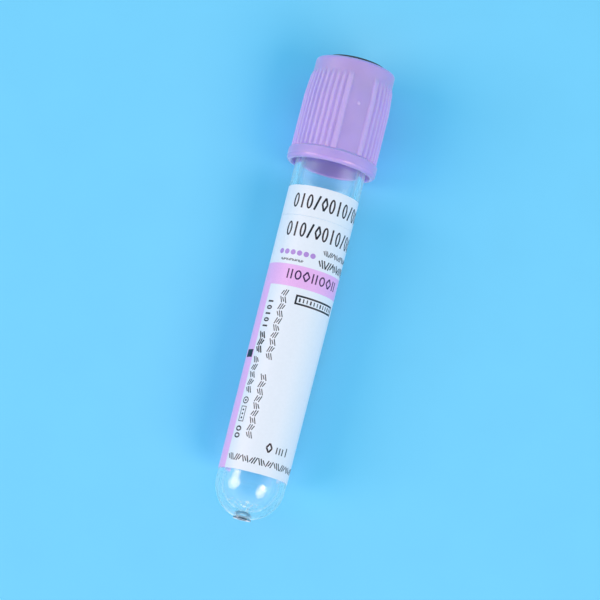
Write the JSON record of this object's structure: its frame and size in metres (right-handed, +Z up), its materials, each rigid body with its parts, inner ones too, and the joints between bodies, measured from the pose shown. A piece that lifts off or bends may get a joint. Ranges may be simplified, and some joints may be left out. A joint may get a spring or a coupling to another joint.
{
  "type": "blood collection tube",
  "caption": "Capped, labelled clear plastic tube for drawing and keeping a small blood sample, lying on its side; the ribbed cap and its rubber stopper pull off together.",
  "frame": {"origin": "middle of the footprint of the tube lying on its side, on the surface it lies on", "axes": "+Y along the tube from the closed end towards the cap, +Z up, +X to the right of someone looking along +Y"},
  "size_m": [0.016, 0.083, 0.0161],
  "materials": {
    "clear_tube": "clear moulded PET, polished",
    "label_paper": "coated white paper with a lilac band and edge stripe",
    "dried_additive": "thin spray-dried film with small drops",
    "cap_plastic": "satin lavender moulded polyethylene",
    "stopper_rubber": "dark grey moulded butyl rubber"
  },
  "bodies": {
    "tube_body": {"tube": "clear_tube", "label": "label_paper", "label_tear_strip": "label_paper", "dried_additive": "dried_additive"},
    "cap_body": {"cap": "cap_plastic", "stopper": "stopper_rubber"}
  },
  "joints": [
    {"name": "cap_pull", "type": "slide", "parent": "tube_body", "child": "cap_body", "axis": [0, 0.9994, 0.0335], "range_m": [0, 0.02]}
  ]
}
